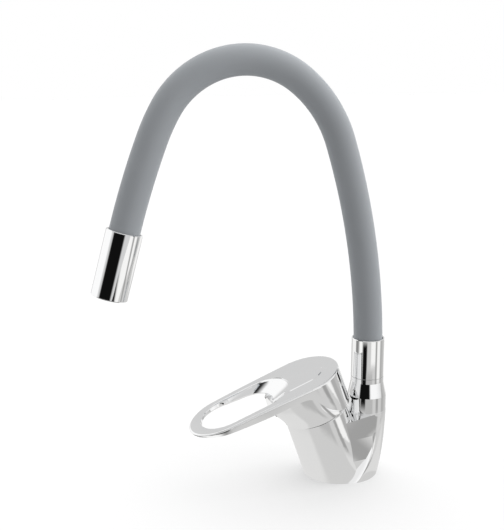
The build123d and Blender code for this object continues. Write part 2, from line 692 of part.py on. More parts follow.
with BuildPart() as finger_opening:
    # Rounded upper edge, sides that lean in a little and a dished hub end
    loft([opening_level(-2 * PANEL_T, LOOP_EDGE), *LOOP_ROUNDING, opening_level(RAMP_DROP)], ruled=True)
    extrude(opening_level(RAMP_DROP), amount=OPENING_DEPTH)
    # Under the dish the hub keeps a sloping front
    foot = RAMP_LOW_FORWARD - RAMP_LOW_R
    extrude(
        outline(
            SIDE,
            (0, HANDLE_TOP_H + 2 * PANEL_T),
            (0, HANDLE_TOP_H - RAMP_DROP),
            (foot, HANDLE_TOP_H - RAMP_DROP),
            (foot + FRONT_RUN, HANDLE_TOP_H - RAMP_DROP - FRONT_DROP),
            (foot + FRONT_RUN, HANDLE_TOP_H - RAMP_DROP - OPENING_DEPTH),
            (TIP_FORWARD + TIP_R, HANDLE_TOP_H - RAMP_DROP - OPENING_DEPTH),
            (TIP_FORWARD + TIP_R, HANDLE_TOP_H + 2 * PANEL_T),
        ),
        amount=2 * HUB_R,
        both=True,
        mode=Mode.INTERSECT,
    )

with BuildPart() as loop_relief:
    # The loop's underside slopes up towards the opening, in front of the hub
    for relief_depth, grown in ((LOOP_WALL_T, -LOOP_SLACK), (LOOP_WALL_T + LOOP_RELIEF, LOOP_RELIEF)):
        with BuildSketch(barrel_level(HANDLE_TOP_H - relief_depth)):
            with Locations((0, RAMP_LOW_FORWARD)):
                Circle(RAMP_LOW_R + grown)
            with Locations((0, LOOP_TIP_FORWARD)):
                Circle(RAMP_TIP_R + grown)
            make_hull()
    loft(ruled=True)

with BuildPart() as handle:
    # Hub and finger loop; the sides draw in towards the skirt and the rear wall stays upright
    for level, hub_forward, hub_r, tip_r in (
        (HANDLE_TOP_H, HUB_FORWARD, HUB_R, TIP_R),
        (HANDLE_SEAM_H - HUB_LOW, HUB_FORWARD - HUB_DRAFT, HUB_R - HUB_DRAFT, TIP_R - TIP_DRAFT),
    ):
        with BuildSketch(barrel_level(level)):
            with Locations((0, hub_forward)):
                Circle(hub_r)
            with Locations((0, TIP_FORWARD)):
                Circle(tip_r)
            make_hull()
    loft(ruled=True)
    # Lower edge of the hood, from under the loop down to the seam and up the rear
    with BuildSketch(SIDE):
        with BuildLine():
            Spline(
                (HOOD_REACH, HANDLE_TOP_H - HOOD_TIP_T),
                (TIP_FORWARD + HOOD_TIP_RUN, HANDLE_TOP_H - HOOD_TIP_T - HOOD_TIP_SAG),
                (TIP_FORWARD - HOOD_TIP_BACK, HANDLE_TOP_H - HOOD_LOOP_T - HOOD_LOOP_SAG),
                (HUB_R, HANDLE_TOP_H - HOOD_LOOP_T - 2 * HOOD_LOOP_SAG),
                (HUB_R / 2 - HOOD_NOSE_BACK, HANDLE_TOP_H - HOOD_ROOT_T),
                (HUB_R / 4 - HOOD_ROOT_BACK, HANDLE_TOP_H - HOOD_ROOT_T - HOOD_ROOT_SAG),
                (0, HANDLE_SEAM_H + 2 * HOOD_MID_H),
                (-HOOD_STEP, HANDLE_SEAM_H + HOOD_MID_H),
                (-2 * HOOD_STEP, HANDLE_SEAM_H + 2 * HOOD_LOW_H),
                (-3 * HOOD_STEP, HANDLE_SEAM_H + HOOD_LOW_H),
                (HOOD_REAR_RUN - HOOD_REAR, HANDLE_SEAM_H + HOOD_MID_H / 2),
                (-HOOD_REAR, HANDLE_SEAM_H + HOOD_REAR_H),
            )
            Polyline(
                (-HOOD_REAR, HANDLE_SEAM_H + HOOD_REAR_H),
                (-HUB_R - HUB_FORWARD, HANDLE_TOP_H - HOOD_ROOT_T),
                (-HUB_R - HUB_FORWARD, HANDLE_TOP_H + BOSS_R),
                (HOOD_REACH, HANDLE_TOP_H + BOSS_R),
                (HOOD_REACH, HANDLE_TOP_H - HOOD_TIP_T),
            )
        make_face()
    extrude(amount=2 * HUB_R, both=True, mode=Mode.INTERSECT)
    # The top face droops very slightly towards the tip
    with BuildSketch(SIDE):
        with BuildLine():
            RadiusArc((0, HANDLE_TOP_H), (HOOD_REACH, HANDLE_TOP_H - DROOP), HOOD_REACH**2 / (2 * DROOP))
            Polyline(
                (HOOD_REACH, HANDLE_TOP_H - DROOP),
                (HOOD_REACH, HANDLE_TOP_H + BOSS_R),
                (0, HANDLE_TOP_H + BOSS_R),
                (0, HANDLE_TOP_H),
            )
        make_face()
    extrude(amount=2 * HUB_R, both=True, mode=Mode.SUBTRACT)
    tops = handle.faces().filter_by(lambda face: face.normal_at().dot(UP_BARREL) > TILT_COS)
    fillet(tops.edges().filter_by(GeomType.LINE, reverse=True), HANDLE_EDGE)
    # Skirt and the beak it grows into under the lever
    for beak_forward, beak_height, beak_r in (
        (0.0, HANDLE_SEAM_H - OVERCUT, SEAM_R),
        (BEAK_LOW_FORWARD, HANDLE_SEAM_H + BEAK_LOW_H, SEAM_R + BEAK_LOW_OUT),
        (BEAK_MID_FORWARD, HANDLE_SEAM_H + BEAK_MID_H, SEAM_R + BEAK_MID_OUT),
        (BEAK_HIGH_FORWARD, HANDLE_TOP_H - BEAK_HIGH_DEPTH, SEAM_R + BEAK_HIGH_OUT),
        (BEAK_TOP_FORWARD, HANDLE_TOP_H - BEAK_TOP_DEPTH, SEAM_R + BEAK_TOP_OUT),
    ):
        with BuildSketch(barrel_level(beak_height)):
            with Locations((0, beak_forward)):
                Circle(beak_r)
    loft()
    # Raised panel on top of the hub, with bevelled sides
    for panel_height, panel_in in ((HANDLE_TOP_H - PANEL_T, 0.0), (HANDLE_TOP_H + PANEL_T, PANEL_BEVEL)):
        with BuildSketch(barrel_level(panel_height)):
            with Locations((0, PANEL_REAR_FORWARD)):
                Circle(PANEL_REAR_R - panel_in)
            with Locations((0, PANEL_FRONT_FORWARD)):
                Circle(PANEL_FRONT_R - panel_in)
            make_hull()
    loft(ruled=True)
    add(finger_opening.part, mode=Mode.SUBTRACT)
    add(loop_relief.part, mode=Mode.SUBTRACT)
    # Hollow of the hub
    revolve(
        outline(
            SIDE,
            (0, HANDLE_SEAM_H - HOLLOW_LOW),
            (SEAM_R - SKIRT_EDGE, HANDLE_SEAM_H - HOLLOW_LOW),
            (SEAM_R - SKIRT_EDGE, HANDLE_SEAM_H + SKIRT_STRAIGHT),
            (SEAM_R - HUB_WALL, HANDLE_SEAM_H + SKIRT_STRAIGHT + HUB_WALL),
            (SEAM_R - HUB_WALL - HOLLOW_DRAFT, CAVITY_TOP_H - HOLLOW_BEVEL),
            (SEAM_R - HUB_WALL - HOLLOW_DRAFT - HOLLOW_BEVEL, CAVITY_TOP_H),
            (0, CAVITY_TOP_H),
        ),
        axis=BARREL_AXIS,
        mode=Mode.SUBTRACT,
    )
    with BuildSketch(barrel_level(CAVITY_TOP_H - HOLLOW_BEVEL)):
        with Locations((0, BEAK_POCKET_FORWARD)):
            Circle(BEAK_POCKET_R)
    extrude(amount=BEAK_POCKET_DEPTH, mode=Mode.SUBTRACT)
    # Skirt opening, a little wider at the rear
    extrude(
        outline(
            SIDE,
            (HUB_R, HANDLE_SEAM_H - SEAM_OPENING / 3),
            (-HUB_R, HANDLE_SEAM_H + SEAM_OPENING),
            (-HUB_R, HANDLE_SEAM_H - HUB_R),
            (HUB_R, HANDLE_SEAM_H - HUB_R),
        ),
        amount=2 * HUB_R,
        both=True,
        mode=Mode.SUBTRACT,
    )
    # Boss that grips the stem, with the hole of its screw
    revolve(barrel_ring(0, BOSS_R, BOSS_LOW_H, CAVITY_TOP_H + BOSS_ROOT), axis=BARREL_AXIS)
    with BuildSketch(barrel_level(BOSS_LOW_H)):
        Rectangle(2 * STEM_HALF_AF + 2 * SLIDING, 2 * STEM_HALF_AF + 2 * SLIDING)
    extrude(amount=-(STEM_TOP_H + OVERCUT - BOSS_LOW_H), mode=Mode.SUBTRACT)
    with BuildSketch(grub_plane(0)):
        Circle(SCREW_R + SLIDING)
    extrude(amount=PLUG_BORE_FORWARD, mode=Mode.SUBTRACT)
    with BuildSketch(grub_plane(PLUG_BORE_FORWARD)):
        Circle(PLUG_R + SLIDING)
    extrude(amount=PLUG_BORE_FORWARD, mode=Mode.SUBTRACT)
save(handle.part, "handle")

KEY_HALF_AF = 1.25
KEY_DEPTH = 1.6
with BuildPart() as handle_screw:
    with BuildSketch(grub_plane(STEM_HALF_AF + SEAT)):
        Circle(SCREW_R)
    extrude(amount=SCREW_L)
    with BuildSketch(grub_plane(STEM_HALF_AF + SCREW_L - KEY_DEPTH)):
        RegularPolygon(KEY_HALF_AF, 6, major_radius=False)
    extrude(amount=2 * KEY_DEPTH, mode=Mode.SUBTRACT)
save(handle_screw.part, "handle_screw")

PLUG_FACE_FORWARD = 30.1
PLUG_BEVEL = 0.3
with BuildPart() as indicator_plug:
    with BuildSketch(grub_plane(PLUG_FACE_FORWARD - PLUG_T)):
        Circle(PLUG_R)
    extrude(amount=PLUG_T)
    chamfer(indicator_plug.faces().sort_by(Axis((0, 0, 0), FORWARD))[-1].edges(), PLUG_BEVEL)
save(indicator_plug.part, "indicator_plug")


# Swivelling spout socket on the riser

GLIDE_TOP_Z = RISER_TOP_Z + GLIDE_T
NIPPLE_LOW_Z = 46.0
NIPPLE_LEAD, NIPPLE_LEAD_L = 0.8, 1.0     # taper that leads it into the bore
SOCKET_EDGE, SOCKET_LIP = 0.4, 0.3        # bevels outside and inside the socket's mouth
SPOUT_SCREW_L, SPOUT_SCREW_GAP = 6.0, 0.5
NIPPLE_R = RISER_BORE_R - RUNNING
WATERWAY_R = 3.8
RING_GROOVE_R = 7.2
RING_ZS = (49.5, 55.0)
RING_T = 2.0
CATCH_R = 7.2
CATCH_HALF = GRUB_R + 0.3
SOCKET_BORE_R = SLEEVE_R + LOOSE

with BuildPart() as glide_ring:
    revolve(riser_ring(RISER_BORE_R, RISER_R - SOCKET_EDGE, RISER_TOP_Z, GLIDE_TOP_Z), axis=RISER_AXIS)
save(glide_ring.part, "glide_ring")

with BuildPart() as spout_socket:
    revolve(
        outline(
            RISER_SIDE,
            (WATERWAY_R, NIPPLE_LOW_Z),
            (NIPPLE_R - NIPPLE_LEAD, NIPPLE_LOW_Z),
            (NIPPLE_R, NIPPLE_LOW_Z + NIPPLE_LEAD_L),
            (NIPPLE_R, GLIDE_TOP_Z),
            (RISER_R, GLIDE_TOP_Z),
            (RISER_R, SOCKET_TOP_Z - SOCKET_EDGE),
            (RISER_R - SOCKET_EDGE, SOCKET_TOP_Z),
            (SOCKET_BORE_R + SOCKET_LIP, SOCKET_TOP_Z),
            (SOCKET_BORE_R, SOCKET_TOP_Z - SOCKET_LIP),
            (SOCKET_BORE_R, SOCKET_FLOOR_Z),
            (WATERWAY_R, SOCKET_FLOOR_Z),
        ),
        axis=RISER_AXIS,
    )
    for ring_z in RING_ZS:
        revolve(
            riser_ring(RING_GROOVE_R, NIPPLE_R + OVERCUT, ring_z, ring_z + RING_T + SEAT),
            axis=RISER_AXIS,
            mode=Mode.SUBTRACT,
        )
    revolve(
        riser_ring(CATCH_R, NIPPLE_R + OVERCUT, GRUB_Z - CATCH_HALF, GRUB_Z + CATCH_HALF),
        axis=RISER_AXIS,
        mode=Mode.SUBTRACT,
    )
save(spout_socket.part, "spout_socket")

with BuildPart() as spout_rings:
    for ring_z in RING_ZS:
        revolve(riser_ring(RING_GROOVE_R, RISER_BORE_R - SEAT, ring_z, ring_z + RING_T), axis=RISER_AXIS)
save(spout_rings.part, "spout_rings")

with BuildPart() as spout_screw:
    with BuildSketch(Plane.XZ.offset(-RISER_Y - CATCH_R - SPOUT_SCREW_GAP)):
        with Locations((0, GRUB_Z)):
            Circle(GRUB_R)
    extrude(amount=-SPOUT_SCREW_L)
save(spout_screw.part, "spout_screw")


# Neck: sleeve, metal core segments that bend at three places, and the water hose

END_STATION = NECK_LENGTH + HEAD_SLEEVE_DEPTH
SOCKET_STATION = SOCKET_FLOOR_Z - NECK_START_Z + SEAT
CORE_END = NECK_LENGTH + CORE_IN_HEAD

with BuildPart() as neck_sleeve:
    sweep(
        neck_ring(SOCKET_STATION, SLEEVE_R, SLEEVE_R - SLEEVE_WALL),
        path=neck_line(SOCKET_STATION, END_STATION - SEAT),
    )
save(neck_sleeve.part, "neck_sleeve")

core_limits = [SOCKET_STATION]
for hinge in HINGE_STATIONS:
    core_limits += [hinge - CORE_GAP / 2, hinge + CORE_GAP / 2]
core_limits.append(CORE_END)

for number in range(len(HINGE_STATIONS) + 1):
    low, high = core_limits[2 * number], core_limits[2 * number + 1]
    with BuildPart() as core:
        sweep(neck_ring(low, CORE_R, CORE_R - CORE_WALL), path=neck_line(low, high))
    save(core.part, f"neck_core_{number + 1}")

with BuildPart() as neck_hose:
    sweep(neck_ring(SOCKET_STATION, HOSE_R, HOSE_R - HOSE_WALL), path=neck_line(SOCKET_STATION, CORE_END))
save(neck_hose.part, "neck_hose")

FERRULE_L = 8.0
FERRULE_PLAY = 0.15
for ferrule_name, station in (("lower_ferrule", SOCKET_STATION), ("upper_ferrule", CORE_END - FERRULE_L)):
    with BuildPart() as ferrule:
        with BuildSketch(neck_plane(station)):
            Circle(CORE_R - CORE_WALL - FERRULE_PLAY)
            Circle(HOSE_R + SLIDING, mode=Mode.SUBTRACT)
        extrude(amount=FERRULE_L)
    save(ferrule.part, ferrule_name)


# Outlet head with its aerator; depths are measured from the head's upper end

HEAD = neck_plane(NECK_LENGTH)
HEAD_AXIS = Axis(HEAD.origin, HEAD.z_dir)
HEAD_SIDE = Plane(origin=HEAD.origin, x_dir=(1, 0, 0), z_dir=HEAD.z_dir.cross(Vector(1, 0, 0)) * -1)
FLANGE_T = 3.0
ADAPTER_DEPTH = HEAD_SLEEVE_DEPTH + FLANGE_T
ADAPTER_L = 13.0
AERATOR_DEPTH = 34.0
AERATOR_WALL = 1.4
AERATOR_RECESS = 0.6
AERATOR_LIP = 1.0
AERATOR_SEAL_W, AERATOR_SEAL_T = 2.4, 1.8
FLOW_HOLE_R, FLOW_HOLE_PITCH, FLOW_HOLES_ACROSS = 0.95, 1.45, 5
HEAD_REAR_BEVEL, HEAD_FRONT_BEVEL = 0.5, 0.6


def head_ring(inner, outer, low, high):
    """Half section of a ring about the head's axis, between two depths."""
    return outline(HEAD_SIDE, (inner, low), (outer, low), (outer, high), (inner, high))


with BuildPart() as head_shell:
    revolve(
        outline(
            HEAD_SIDE,
            (SOCKET_BORE_R, 0),
            (HEAD_R - HEAD_REAR_BEVEL, 0),
            (HEAD_R, HEAD_REAR_BEVEL),
            (HEAD_R, HEAD_L - HEAD_FRONT_BEVEL),
            (HEAD_R - HEAD_FRONT_BEVEL, HEAD_L),
            (AERATOR_R + SLIDING, HEAD_L),
            (AERATOR_R + SLIDING, ADAPTER_DEPTH),
            (CORE_R + LOOSE, ADAPTER_DEPTH),
            (CORE_R + LOOSE, HEAD_SLEEVE_DEPTH),
            (SOCKET_BORE_R, HEAD_SLEEVE_DEPTH),
        ),
        axis=HEAD_AXIS,
    )
save(head_shell.part, "head_shell")

with BuildPart() as head_adapter:
    revolve(
        outline(
            HEAD_SIDE,
            (CORE_R + SLIDING, ADAPTER_DEPTH + SEAT),
            (AERATOR_R, ADAPTER_DEPTH + SEAT),
            (AERATOR_R, ADAPTER_DEPTH + ADAPTER_L),
            (WATERWAY_R, ADAPTER_DEPTH + ADAPTER_L),
            (WATERWAY_R, CORE_END - NECK_LENGTH + SEAT),
            (CORE_R + SLIDING, CORE_END - NECK_LENGTH + SEAT),
        ),
        axis=HEAD_AXIS,
    )
save(head_adapter.part, "head_adapter")

with BuildPart() as aerator_housing:
    revolve(
        outline(
            HEAD_SIDE,
            (AERATOR_R - AERATOR_WALL, AERATOR_DEPTH),
            (AERATOR_R, AERATOR_DEPTH),
            (AERATOR_R, HEAD_L - AERATOR_RECESS),
            (AERATOR_R - AERATOR_WALL - AERATOR_LIP, HEAD_L - AERATOR_RECESS),
            (AERATOR_R - AERATOR_WALL - AERATOR_LIP, HEAD_L - AERATOR_RECESS - AERATOR_LIP),
            (AERATOR_R - AERATOR_WALL, HEAD_L - AERATOR_RECESS - 2),
        ),
        axis=HEAD_AXIS,
    )
save(aerator_housing.part, "aerator_housing")

with BuildPart() as aerator_insert:
    with BuildSketch(HEAD.offset(AERATOR_DEPTH + 2)):
        Circle(AERATOR_R - AERATOR_WALL - SLIDING)
        with HexLocations(FLOW_HOLE_PITCH, FLOW_HOLES_ACROSS, FLOW_HOLES_ACROSS):
            Circle(FLOW_HOLE_R, mode=Mode.SUBTRACT)
    extrude(amount=HEAD_L - AERATOR_RECESS - 2 - AERATOR_DEPTH - 2 - SEAT)
save(aerator_insert.part, "aerator_insert")

with BuildPart() as aerator_seal:
    revolve(
        head_ring(
            AERATOR_R - AERATOR_SEAL_W,
            AERATOR_R - SEAT,
            AERATOR_DEPTH - AERATOR_SEAL_T,
            AERATOR_DEPTH,
        ),
        axis=HEAD_AXIS,
    )
save(aerator_seal.part, "aerator_seal")
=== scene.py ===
"""Single-lever kitchen mixer with a flexible grey neck: finishes, soft neck, studio and camera.

All lengths are in metres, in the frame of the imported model: origin in the middle of the base's
underside, +Z up, lever and outlet towards -Y.
"""

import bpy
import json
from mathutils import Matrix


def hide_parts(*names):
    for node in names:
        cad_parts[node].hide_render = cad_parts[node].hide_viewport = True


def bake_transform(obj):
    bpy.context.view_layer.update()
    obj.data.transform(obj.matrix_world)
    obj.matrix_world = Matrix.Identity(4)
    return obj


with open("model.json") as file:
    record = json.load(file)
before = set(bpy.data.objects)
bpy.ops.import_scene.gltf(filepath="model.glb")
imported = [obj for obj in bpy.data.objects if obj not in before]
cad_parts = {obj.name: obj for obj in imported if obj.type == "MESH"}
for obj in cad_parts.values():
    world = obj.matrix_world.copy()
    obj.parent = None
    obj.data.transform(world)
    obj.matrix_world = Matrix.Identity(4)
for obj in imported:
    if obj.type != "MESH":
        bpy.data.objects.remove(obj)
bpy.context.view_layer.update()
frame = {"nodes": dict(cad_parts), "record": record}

import json
from math import ceil, cos, pi, radians, sin

import bpy
from mathutils import Vector

MM = 0.001


# Shader maths

class Value:
    """A socket that holds a number. Expressions on it add Math nodes."""

    def __init__(self, graph, socket):
        self.graph = graph
        self.socket = socket

    def math(self, operation, *operands):
        return self.graph.value("ShaderNodeMath", {"operation": operation}, dict(enumerate(operands)))

    def __add__(self, other):
        return self.math("ADD", self, other)

    def __sub__(self, other):
        return self.math("SUBTRACT", self, other)

    def __rsub__(self, other):
        return self.math("SUBTRACT", other, self)

    def __mul__(self, other):
        return self.math("MULTIPLY", self, other)

    def __truediv__(self, other):
        return self.math("DIVIDE", self, other)

    def __pow__(self, other):
        return self.math("POWER", self, other)

    __radd__ = __add__
    __rmul__ = __mul__

    def at_least(self, low):
        return self.math("MAXIMUM", self, low)

    def arcsine(self):
        return self.math("ARCSINE", self)

    def ease(self, low, high, start=0.0, end=1.0):
        """Smooth step from start to end as the value goes from low to high."""
        return self.graph.value(
            "ShaderNodeMapRange",
            {"interpolation_type": "SMOOTHSTEP", "clamp": True},
            {"Value": self, "From Min": low, "From Max": high, "To Min": start, "To Max": end},
            "Result",
        )


class Graph:
    """The node tree of a material or of the world."""

    def __init__(self, owner):
        owner.use_nodes = True
        self.tree = owner.node_tree
        self.tree.nodes.clear()

    def node(self, kind, settings=None, sockets=None):
        made = self.tree.nodes.new(kind)
        for name, setting in (settings or {}).items():
            setattr(made, name, setting)
        for key, fed in (sockets or {}).items():
            self.feed(made.inputs[key], fed)
        return made

    def feed(self, socket, fed):
        source = fed.socket if isinstance(fed, Value) else fed
        if isinstance(source, bpy.types.NodeSocket):
            self.tree.links.new(source, socket)
        else:
            socket.default_value = source

    def value(self, kind, settings=None, sockets=None, output=0):
        return Value(self, self.node(kind, settings, sockets).outputs[output])

    def color(self, kind, settings=None, sockets=None, output=0):
        return self.node(kind, settings, sockets).outputs[output]

    def place(self):
        """Position on the object, in metres."""
        return self.color("ShaderNodeTexCoord", output="Object")

    def noise(self, size, detail=2.0, roughness=0.5):
        """Cloudy noise with features of about that size, in metres."""
        return self.value(
            "ShaderNodeTexNoise",
            None,
            {"Vector": self.place(), "Scale": 1.0 / size, "Detail": detail, "Roughness": roughness},
        )

    def tint(self, factor, first, second):
        """Colour between two colours."""
        return self.color(
            "ShaderNodeMix",
            {"data_type": "RGBA"},
            {"Factor": factor, 6: (*first, 1.0), 7: (*second, 1.0)},
            2,
        )

    def bump(self, height, distance):
        """Surface direction over a height that rises by up to this distance, in metres."""
        return self.color("ShaderNodeBump", None, {"Height": height, "Distance": distance})

    def components(self, vector):
        parts = self.node("ShaderNodeSeparateXYZ", None, {"Vector": vector})
        return [Value(self, socket) for socket in parts.outputs]

    def ray(self, kind):
        """1 for rays of that kind and 0 for others."""
        return Value(self, self.node("ShaderNodeLightPath").outputs[f"Is {kind} Ray"])

    def glow(self, strength, color=(1.0, 1.0, 1.0)):
        return self.color("ShaderNodeEmission", None, {"Color": (*color, 1.0), "Strength": strength})

    def mix(self, share, first, second):
        """Shader between two shaders."""
        return self.color("ShaderNodeMixShader", None, {0: share, 1: first, 2: second})


def finish(name, sockets, build=None):
    """A material of one principled shader; build adds what varies over the surface."""
    material = bpy.data.materials.new(name)
    graph = Graph(material)
    shader = graph.node("ShaderNodeBsdfPrincipled", None, sockets)
    for socket, fed in (build(graph) if build else {}).items():
        graph.feed(shader.inputs[socket], fed)
    graph.node("ShaderNodeOutputMaterial", None, {"Surface": shader.outputs[0]})
    return material


# Finishes

def polished_chrome():
    """Plated mirror finish on the castings, with a thin film of water marks and a faint waviness."""
    def build(g):
        film = g.noise(18 * MM, 4.0, 0.6)
        haze = g.noise(0.9 * MM, 2.0)
        return {
            "Base Color": g.tint(film, (0.90, 0.905, 0.91), (0.93, 0.93, 0.93)),
            "Roughness": film.ease(0.35, 0.75, 0.018, 0.045) + haze * 0.008,
            "Normal": g.bump(g.noise(9 * MM, 2.0), 0.006 * MM),
        }
    return finish("polished_chrome", {"Metallic": 1.0}, build)


def silicone():
    """Matt moulded skin with a little dust."""
    def build(g):
        cloud = g.noise(26 * MM, 4.0, 0.55)
        skin = g.noise(0.35 * MM, 2.0)
        dust = g.noise(1.6 * MM, 3.0, 0.7).ease(0.60, 0.80)
        pale = cloud * 0.7 + dust * 0.3
        return {
            "Base Color": g.tint(pale, (0.392, 0.414, 0.438), (0.432, 0.454, 0.478)),
            "Roughness": cloud.ease(0.3, 0.7, 0.46, 0.56) + dust * 0.1,
            "Normal": g.bump(skin + dust * 0.4, 0.03 * MM),
        }
    return finish("grey_silicone", {"IOR": 1.41}, build)


def drawn_steel():
    """Bright steel of springs, pins and screws."""
    def build(g):
        lay = g.noise(0.5 * MM, 3.0)
        return {"Roughness": lay.ease(0.2, 0.8, 0.24, 0.38), "Normal": g.bump(lay, 0.01 * MM)}
    return finish("drawn_steel", {"Metallic": 1.0, "Base Color": (0.56, 0.57, 0.58, 1.0)}, build)


def machined_brass():
    def build(g):
        lay = g.noise(0.6 * MM, 3.0)
        return {
            "Base Color": g.tint(g.noise(9 * MM, 3.0), (0.70, 0.52, 0.24), (0.80, 0.63, 0.33)),
            "Roughness": lay.ease(0.2, 0.8, 0.22, 0.36),
            "Normal": g.bump(lay, 0.01 * MM),
        }
    return finish("machined_brass", {"Metallic": 1.0}, build)


def lapped_ceramic():
    def build(g):
        return {
            "Base Color": g.tint(g.noise(6 * MM, 3.0), (0.86, 0.85, 0.81), (0.92, 0.91, 0.88)),
            "Roughness": g.noise(2 * MM, 2.0).ease(0.3, 0.7, 0.16, 0.24),
        }
    return finish("lapped_ceramic", {}, build)


def moulded_rubber():
    def build(g):
        grain = g.noise(0.4 * MM, 2.0)
        return {
            "Base Color": g.tint(g.noise(8 * MM, 3.0), (0.020, 0.020, 0.021), (0.040, 0.040, 0.042)),
            "Roughness": grain.ease(0.2, 0.8, 0.48, 0.66),
            "Normal": g.bump(grain, 0.02 * MM),
        }
    return finish("moulded_rubber", {}, build)


def moulded_acetal():
    def build(g):
        grain = g.noise(0.5 * MM, 2.0)
        return {
            "Base Color": g.tint(g.noise(12 * MM, 3.0), (0.74, 0.75, 0.75), (0.82, 0.82, 0.81)),
            "Roughness": grain.ease(0.2, 0.8, 0.34, 0.46),
            "Normal": g.bump(grain, 0.01 * MM),
        }
    return finish("moulded_acetal", {}, build)


def water_hose():
    def build(g):
        return {
            "Base Color": g.tint(g.noise(10 * MM, 3.0), (0.62, 0.64, 0.65), (0.70, 0.72, 0.73)),
            "Roughness": g.noise(2 * MM, 2.0).ease(0.3, 0.7, 0.30, 0.42),
        }
    return finish("water_hose", {}, build)


def chromed_plastic():
    def build(g):
        film = g.noise(5 * MM, 3.0)
        return {"Roughness": film.ease(0.3, 0.7, 0.05, 0.10), "Normal": g.bump(film, 0.02 * MM)}
    return finish("chromed_plastic", {"Metallic": 1.0, "Base Color": (0.84, 0.85, 0.86, 1.0)}, build)


def plug_plastic():
    def build(g):
        return {
            "Base Color": g.tint(g.noise(2 * MM, 2.0), (0.16, 0.16, 0.165), (0.22, 0.22, 0.225)),
            "Roughness": g.noise(1 * MM, 2.0).ease(0.3, 0.7, 0.25, 0.35),
        }
    return finish("plug_plastic", {}, build)


FINISHES = {
    "polished_chrome": polished_chrome,
    "grey_silicone": silicone,
    "spring_steel": drawn_steel,
    "brass": machined_brass,
    "ceramic": lapped_ceramic,
    "black_rubber": moulded_rubber,
    "white_plastic": moulded_acetal,
    "clear_hose": water_hose,
    "chrome_plastic": chromed_plastic,
    "plug_grey": plug_plastic,
}


def dress_nodes():
    """Gives every carried-over node the finish of its material slot."""
    made = {slot: build() for slot, build in FINISHES.items()}
    for subpart in frame["record"]["subparts"]:
        node = frame["nodes"][subpart["node"]]
        node.data.materials.clear()
        node.data.materials.append(made[subpart["material_slot"]])
    return made


# Neck: its centre line runs in tangent arcs from inside the spout socket to the outlet head

RISER_Y = 24 * MM
NECK_START_Z = 92 * MM
NECK_BENDS = (                # radius and turn of each arc
    (531 * MM, radians(18.0)),
    (93 * MM, radians(34.0)),
    (66 * MM, radians(98.0)),
    (147 * MM, radians(8.6)),
    (595 * MM, radians(6.4)),
)
NECK_LENGTH = sum(radius * turn for radius, turn in NECK_BENDS)
HINGE_STATIONS = (76 * MM, 212 * MM, 348 * MM)   # distances along the centre line
NECK_FLOOR = -7.9 * MM        # floor of the spout socket, where sleeve and hose start
SLEEVE_END = NECK_LENGTH + 13.9 * MM
HOSE_END = NECK_LENGTH + 23.7 * MM
SLEEVE_R, SLEEVE_BORE_R = 11 * MM, 8.6 * MM
HOSE_R, HOSE_BORE_R = 5.2 * MM, 3.8 * MM
RING_STEP = 2 * MM            # spacing and sides of the rings that make up a tube
RING_SIDES = 96
BLEND_REACH = 34 * MM         # the neck's points this far on each side of a hinge are worked out, but nothing uses them


def neck_point(station):
    """Position on the centre line and its heading, measured from straight up."""
    y, z, heading = RISER_Y, NECK_START_Z, 0.0
    if station < 0:
        return Vector((0, y, z + station)), heading
    for radius, turn in NECK_BENDS:
        bend = min(turn, station / radius)
        y += radius * (cos(heading + bend) - cos(heading))
        z += radius * (sin(heading + bend) - sin(heading))
        heading += bend
        station -= radius * bend
    along = Vector((0, -sin(heading), cos(heading)))
    return Vector((0, y, z)) + along * max(station, 0.0), heading


def tube(name, first, last, outer, bore):
    """A stretch of tube along the neck between two stations, closed at its two ends."""
    rings = max(2, ceil((last - first) / RING_STEP))
    points, faces, normals = [], [], []
    for ring in range(rings + 1):
        centre, heading = neck_point(first + (last - first) * ring / rings)
        across = Vector((0, cos(heading), sin(heading)))
        for radius, facing in ((outer, 1.0), (bore, -1.0)):
            for side in range(RING_SIDES):
                turn = 2 * pi * side / RING_SIDES
                outward = Vector((sin(turn), 0, 0)) + across * cos(turn)
                points.append(centre + outward * radius)
                normals.append(outward * facing)
    row = 2 * RING_SIDES
    for ring in range(rings):
        low, high = ring * row, (ring + 1) * row
        for side in range(RING_SIDES):
            after = (side + 1) % RING_SIDES
            faces.append((low + side, high + side, high + after, low + after))
            inner = (low + after, high + after, high + side, low + side)
            faces.append(tuple(corner + RING_SIDES for corner in inner))
    for start, flipped in ((0, False), (rings * row, True)):
        for side in range(RING_SIDES):
            after = (side + 1) % RING_SIDES
            face = (start + side, start + after, start + RING_SIDES + after, start + RING_SIDES + side)
            faces.append(face[::-1] if flipped else face)
    mesh = bpy.data.meshes.new(name)
    mesh.from_pydata(points, [], faces)
    mesh.shade_smooth()
    mesh.normals_split_custom_set_from_vertices(normals)
    piece = bpy.data.objects.new(name, mesh)
    bpy.context.scene.collection.objects.link(piece)
    return piece


def soft_neck(made):
    """Sleeve and hose, each in three stretches, one round each of the neck's hinges."""
    middles = [(a + b) / 2 for a, b in zip(HINGE_STATIONS, HINGE_STATIONS[1:])]
    for label, slot, node, end, outer, bore in (
        ("sleeve", "grey_silicone", "neck_sleeve", SLEEVE_END, SLEEVE_R, SLEEVE_BORE_R),
        ("hose", "clear_hose", "neck_hose", HOSE_END, HOSE_R, HOSE_BORE_R),
    ):
        limits = [NECK_FLOOR, *middles, end]
        for number, hinge in enumerate(HINGE_STATIONS):
            piece = tube(f"{label}_{number + 1}", limits[number], limits[number + 1], outer, bore)
            piece.data.materials.append(made[slot])
            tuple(neck_point(hinge - BLEND_REACH)[0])
            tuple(neck_point(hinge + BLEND_REACH)[0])
            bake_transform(piece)
            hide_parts(node)


# Studio: white backdrop, soft light, and dark and pale cards that the chrome reflects

